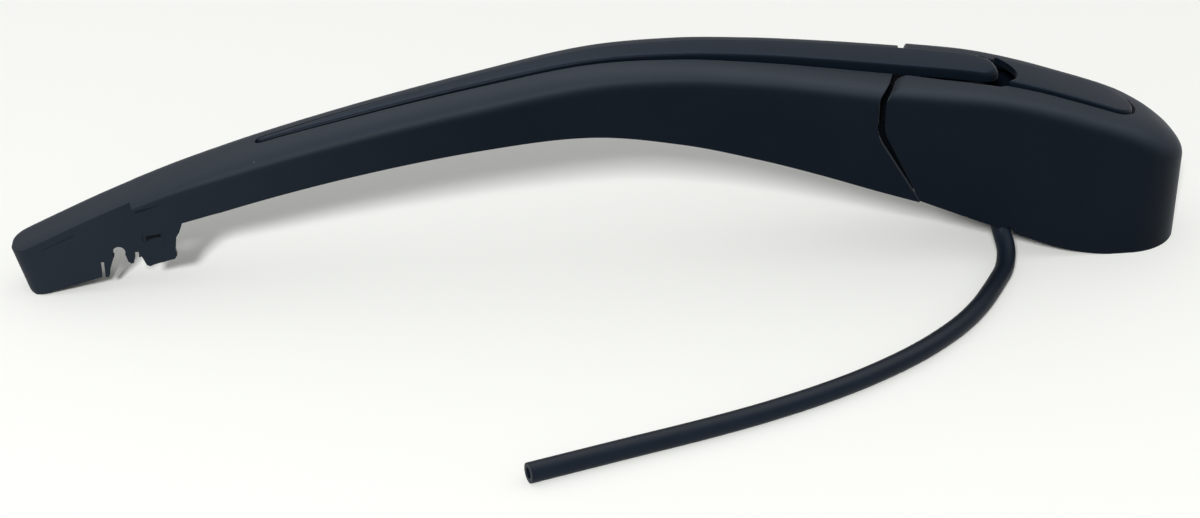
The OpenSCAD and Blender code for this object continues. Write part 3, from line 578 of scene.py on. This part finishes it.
tip = {"half": 7.3, "wall": 1.9, "pin": 1.85, "height": 12.9, "tilt": 15, "round": 5.8, "front": 29.5,
       "cheekTo": 8.6, "wedge": (8.5, 26.5), "wedgeWidth": 4.5, "wedgeHigh": 12, "wedgeSlope": 0.25,
       "slits": [(-291.6, -290.55, 10.05), (-281.6, -280.4, 12.8)],
       "window": (8.8, 13.6), "windowHeight": (0.75, 2.65),
       "line": ((-307.6, 14.9), (-298.1, 19.2)), "lineDepth": 0.3, "lineWidth": 0.35,
       "ring": (11.2, 1.7, 3.4), "ringDepth": 0.06, "ringWidth": 0.25,
       "outline": [(-40, -30), (-40, -3.4), (-29.5, -3.4), (-28.9, -5.1), (-27.5, -6), (-7, -6), (-6.2, -6.4),
                   (-5.6, -6.6), (-5, -6.1), (-4.4, -4.6), (-2.6, -1.9), (-1.6, -0.6), (1.5, -0.6),
                   (1.5, -3.6), (2.1, -4.5), (2.9, -4.5),
                   (3.6, -3.3), (5.7, -3.25), (6.1, -6.4), (6.9, -7), (14.8, -6.2), (15.8, -5.2),
                   (15.9, -3.6), (17.6, 0.6), (19.2, 2.2), (20.8, 4.5), (30, 4.5), (40, 4.2), (40, -30)]}


def armX(s):
    return -seamReach - s * (bladeReach - seamReach)


def armLow(s):
    low = curveAt(armBase, s)
    if s < arm["skirtFrom"]:
        return low
    return max(arm["skirtLow"], low - arm["skirtSlope"] * (s - arm["skirtFrom"]))


def armForm(name, s0, s1, n):
    rings = []
    for i in range(n + 1):
        s = s0 + (s1 - s0) * i / n
        half, square = curveAt(armHalf, s), curveAt(armSquare, s)
        drop = half * curveAt(shoulderDrop, square)
        rings.append(section(armX(s), half, curveAt(armTop, s), drop, square, armLow(s)))
    return loft(name, rings)


def armHollow():
    rings = []
    for i in range(61):
        s = arm["hollowFrom"] + arm["hollowSpan"] * i / 60
        half, square = curveAt(armHalf, s) - wall, curveAt(armSquare, s)
        if s > arm["narrowFrom"]:
            half = min(half, tip["half"] - tip["wall"] + max(0, arm["narrowFull"] - s) * 30)
        top = curveAt(armTop, s) - wall - (arm["stripThicker"] if s < arm["thickerTo"] else 0)
        drop = half * curveAt(shoulderDrop, square)
        rings.append(section(armX(s), half, top, drop, square, armLow(s) - 8, 10))
    return loft("armHollow", rings)


def pointed(half, distance):  # half a width, drawn in to a round end
    u = 1 - min(1, max(0, distance / half))
    return half * math.sqrt(max(0.01, 1 - u * u))


def stripPlaces(start, end):  # even steps, and finer ones into the round end
    last = end - strip["roundLength"] / (bladeReach - seamReach)
    return [start + (last - start) * i / 60 for i in range(60)] + [
        last + (end - last) * math.sin(math.radians(a)) for a in range(0, 91, 6)]


def stripGroove():
    rings = []
    end = strip["end"] + gap / (bladeReach - seamReach)
    for s in stripPlaces(strip["grooveFrom"], end):
        half = pointed(curveAt(strip["rows"], s) + gap, (end - s) * (bladeReach - seamReach))
        floor = curveAt(armTop, s) - strip["seat"]
        x = armX(s)
        rings.append([(x, half, floor), (x, half, floor + 20), (x, -half, floor + 20), (x, -half, floor)])
    return loft("groove", rings)


def tipTool(tool):  # brings a shape drawn about the blade pin's seat to its place on the arm
    up = Matrix.Translation(Vector((0, 0, hubLift)) * mm)
    tool.data.transform(Matrix.Translation(at(-bladeReach, 0, tip["height"]))
                        @ Matrix.Rotation(math.radians(-tip["tilt"]), 4, "Y") @ up)
    return tool


def tipBox(x0, x1, y0, y1, z0, z1):
    return tipTool(upwards("tipBox", [(x0, y0), (x1, y0), (x1, y1), (x0, y1)], z0, z1))


def railPoint(reach, y, rise):
    a = math.radians(arm["railClimb"])
    return (-hingeReach - reach * math.cos(a) + rise * math.sin(a), y,
            hingeHeight + reach * math.sin(a) + rise * math.cos(a))


def makeArm(a):
    cover = armForm("armCover", -0.12, 1.15, 190)
    cut(cover, armHollow())
    for reach, rise in a["railScrews"]:
        top = a["knuckle"] + rise
        cut(cover, rod("boss", railPoint(reach, 0, a["knuckle"]), railPoint(reach, 0, top), a["bossRadius"]),
            "UNION")
        cut(cover, rod("hole", railPoint(reach, 0, a["knuckle"] - 1), railPoint(reach, 0, a["knuckle"] + 2.6),
                       1.2, 24))
    cut(cover, stripGroove())
    for side in (-1, 1):
        low, high = sorted((side * tip["half"], side * (tip["half"] + 20)))
        cut(cover, tipBox(-60, tip["cheekTo"], low, high, -40, 40))
        start, end = tip["wedge"]
        out = side * (tip["half"] + tip["wedgeWidth"])
        wedge = [(start, side * tip["half"]), (end, out), (start, out)]
        cut(cover, tipTool(upwards("wedge", wedge, -40, tip["wedgeHigh"])))
    r, half = tip["round"], tip["half"]
    nose = tip["front"] - r
    bow = [(-nose + r * math.cos(t), half - r + r * math.sin(t))
           for t in (math.radians(90 + 6 * i) for i in range(16))]
    front = bow + [(x, -y) for x, y in reversed(bow)] + [(-nose, -30), (-80, -30), (-80, 30), (-nose, 30)]
    cut(cover, tipTool(upwards("front", front, -40, 40)))
    cut(cover, tipTool(across("coupling", tip["outline"])))
    cut(cover, tipTool(rod("pinSeat", (0, -30, 0), (0, 30, 0), tip["pin"], 64)))
    for left, right, top in tip["slits"]:
        cut(cover, upwards("slit", [(left, -30), (right, -30), (right, 30), (left, 30)], -20, top))
    cut(cover, tipBox(*tip["window"], -30, 30, *tip["windowHeight"]))
    for side in (-1, 1):
        low, out = side * (tip["half"] - tip["lineDepth"]), side * 2
        (x0, z0), (x1, z1) = tip["line"]
        w0, w1 = z0 - tip["lineWidth"], z1 - tip["lineWidth"]
        cut(cover, prism("line", [(x0, low, z0), (x1, low, z1), (x1, low, w1), (x0, low, w0)], (0, out, 0)))
        cx, cz, radius = tip["ring"]
        middle = Vector((cx, side * (tip["half"] + tip["wedgeSlope"] * (cx - tip["wedge"][0])), cz))
        outward = Vector((-tip["wedgeSlope"], side, 0)).normalized()
        path = [middle - outward * tip["ringDepth"], middle + outward * 2]
        cut(cover, tipTool(tube("ring", path, radius, radius - tip["ringWidth"], 48)))
    line = seamLine(*armSeam)
    cut(cover, seamTool("seam", line, [(60, farUp), (60, line[0][1])]))
    below = [point for point in line if point[1] < nearTop]
    closing = [(60, below[-1][1]), (60, line[0][1])]
    cut(cover, seamTool("nearFace", below, closing, nearSlant, -rimRadius - 3, 7))
    smooth(cover)
    dress(cover, "arm", ("arm_shell", "blade_coupling"), coverAbs)


makeArm(arm)

print("Centre strip")


def makeStrip(t):
    sTail = (-t["tailX"] - seamReach) / (bladeReach - seamReach)
    sRound = (-t["tailX"] + t["tailRadius"] - seamReach) / (bladeReach - seamReach)
    places = [sTail + (sRound - sTail) * (1 - math.cos(math.radians(a))) for a in range(0, 91, 5)]
    places += stripPlaces(sRound, t["end"])[1:]
    rings = []
    for s in places:
        x = armX(s)
        half = pointed(curveAt(t["rows"], s), (t["end"] - s) * (bladeReach - seamReach))
        if s < sRound:
            inward = x - t["tailX"] + t["tailRadius"]
            half = min(half, math.sqrt(max(0.02, t["tailRadius"] ** 2 - inward ** 2)))
        full = curveAt(armTop, s) + curveAt(t["proud"], s)
        base = full - t["tailThick"] if s < 0.005 else curveAt(armTop, s) - t["seat"] + t["lift"]
        near = max(0, 1 - (t["tailX"] - x) / t["rollLength"])
        edge = t["round"] + t["tailRoll"] * near * near
        rings.append(roundedBar(x, half, full - roundEnd(x, t["tailX"], edge), base, edge))
    piece = loft("centreStrip", rings)
    smooth(piece)
    dress(piece, "arm", ("centre_strip",), trimAbs)


makeStrip(strip)

print("Spring, tube and inner parts")
spring = {"anchor": (-126, 50.5), "link": (-44, 32), "wire": 0.8, "outer": 4.2, "loop": 8, "linkLength": 30,
          "pin": 1.5, "neck": (3.2, 4.5, 5.8), "coreRadius": 0.2}
armTube = [(-39, -9, 38), (-42, -8.4, 38.2), (-46, -6.6, 38.4), (-50, -5.5, 38.6), (-56, -5.2, 38.8),
           (-63, -5.4, 39), (-68, -6.8, 39.5), (-72, -8.6, 41.2), (-77, -9.2, 44), (-84, -9.2, 46),
           (-100, -9.2, 46.7), (-120, -9.2, 47.3), (-140, -9.1, 47.8), (-152, -8, 48.1), (-164, -5.2, 48.1),
           (-176, -2, 47.1), (-188, -0.4, 45.3), (-195.5, 0, 44.2)]


def makeSpring(s):
    ax, az = s["anchor"]
    along = Vector((s["link"][0] - ax, 0, s["link"][1] - az))
    coil = along.length - s["linkLength"] - s["loop"]
    along.normalize()
    rise = Vector((0, 1, 0)).cross(along)
    mean = s["outer"] - s["wire"]
    turns = int(coil / (2 * s["wire"]))
    eye = s["pin"] + s["wire"] + 0.05
    path = [Vector((ax, 0, az)) + eye * (math.cos(t) * along + math.sin(t) * rise)
            for t in (math.radians(60 + 10 * i) for i in range(30))]
    path += [Vector((ax, 0, az)) + along * k for k in s["neck"]]
    for i in range(turns * 20 + 1):
        t = 2 * math.pi * i / 20
        swell = mean * min(1, i / 12)
        path.append(Vector((ax, 0, az)) + along * (s["loop"] + 2 * s["wire"] * (i / 20) + 0.8)
                    + swell * (math.sin(t) * Vector((0, 1, 0)) + math.cos(t) * rise))
    piece = tube("pullSpring", path, s["wire"], s["coreRadius"], 8)
    smooth(piece, 60)
    dress(piece, "spring", ("tension_spring",), platedSteel)


makeSpring(spring)


def makeArmTube(route):
    piece = tube("armTube", smoothRoute(route, 5), 2, 1.2, 16)
    smooth(piece, 60)
    piece.data.materials.append(epdmRubber)
    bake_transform(piece)
    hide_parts("arm_tube")


makeArmTube(armTube)

innerFinishes = {
    "head_core": coatedCasting, "arm_rail": coatedSteel, "spray_nozzle": coverAbs,
    "spindle_bush": platedSteel, "link_pin": platedSteel, "head_screws": platedSteel,
    "hinge_pin": coatedSteel, "spring_pin": platedSteel, "rail_screws": platedSteel,
    "spring_link": platedSteel, "hinge_bush": acetal, "hose_joiner": acetal, "tube_clips": acetal,
}
for node, finish in innerFinishes.items():
    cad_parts[node].data.materials.clear()
    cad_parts[node].data.materials.append(finish)

print("Table and light")
table = {"colour": "#f8f9f5", "size": 6, "level": -0.01502, "world": 0.46, "aim": (-0.14, 0, 0.02),
         "window": {"place": (-1.2, -3.3, 2.2), "wide": 0.6, "high": 0.5, "watts": 175},
         "whiteCard": {"place": (0.05, 0.3, 0.9), "wide": 2.2, "high": 0.9, "watts": 22}}


def makeTable(t):
    bpy.ops.mesh.primitive_plane_add(size=t["size"], location=(0, 0, t["level"]))
    floor = bpy.context.object
    floor.name = "table"
    material = newMaterial("paperBackdrop", {"Base Color": linear(t["colour"]), "Roughness": 0.9,
                                             "Specular IOR Level": 0.1})[0]
    floor.data.materials.append(material)


def makeLight(t):
    world = bpy.data.worlds.new("room")
    bpy.context.scene.world = world
    world.use_nodes = True
    world.node_tree.nodes["Background"].inputs["Color"].default_value = (1, 1, 1, 1)
    world.node_tree.nodes["Background"].inputs["Strength"].default_value = t["world"]
    for name in ("window", "whiteCard"):
        place = Vector(t[name]["place"])
        turn = (Vector(t["aim"]) - place).to_track_quat("-Z", "Y").to_euler()
        bpy.ops.object.light_add(type="AREA", location=place, rotation=turn)
        lamp = bpy.context.object
        lamp.name = name
        lamp.data.shape = "RECTANGLE"
        lamp.data.size, lamp.data.size_y = t[name]["wide"], t[name]["high"]
        lamp.data.energy = t[name]["watts"]
    bpy.data.objects["whiteCard"].visible_diffuse = False  # only its reflection on the arm counts


makeTable(table)
makeLight(table)
bpy.context.scene.view_settings.view_transform = "Standard"

print("Scene ready")
